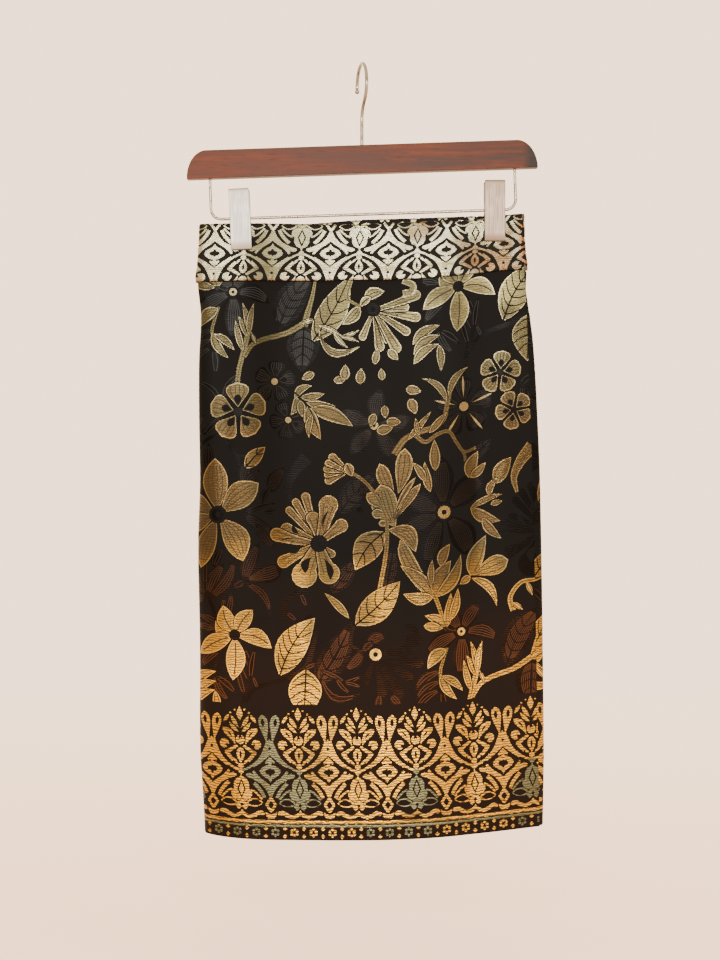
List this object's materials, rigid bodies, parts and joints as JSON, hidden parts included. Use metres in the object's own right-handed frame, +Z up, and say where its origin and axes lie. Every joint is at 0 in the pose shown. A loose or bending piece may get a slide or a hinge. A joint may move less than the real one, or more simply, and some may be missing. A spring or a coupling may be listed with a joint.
{
  "type": "instant sampin on a clip hanger",
  "caption": "Short wrapped brocade skirt with a floral ground, a deep woven hem border and a folded waist tuck, hanging flat from a wooden clip hanger.",
  "frame": {"origin": "inside top of the hook's crook, where a rail bears", "axes": "+X to the right as seen from the front, +Y away from the viewer, +Z up"},
  "size_m": [0.3675, 0.0489, 0.7975],
  "materials": {
    "brocade": "black satin ground with woven gold and dark tone-on-tone thread",
    "border_cloth": "dense metallic brocade border, silver to gold",
    "walnut": "satin red-brown walnut",
    "polished_wire": "polished round wire",
    "clip_plate": "satin nickel-plated sheet"
  },
  "bodies": {
    "root": {"front_panel": "brocade", "under_panel": "brocade", "back_panel": "brocade", "band_front": "border_cloth", "band_under": "border_cloth", "band_back": "border_cloth", "hanger_bar": "walnut", "hanger_hook": "polished_wire", "hanger_wire": "polished_wire", "clip_left_front": "clip_plate", "clip_left_back": "clip_plate", "clip_left_spring": "polished_wire", "clip_right_front": "clip_plate", "clip_right_back": "clip_plate", "clip_right_spring": "polished_wire"}
  },
  "joints": []
}
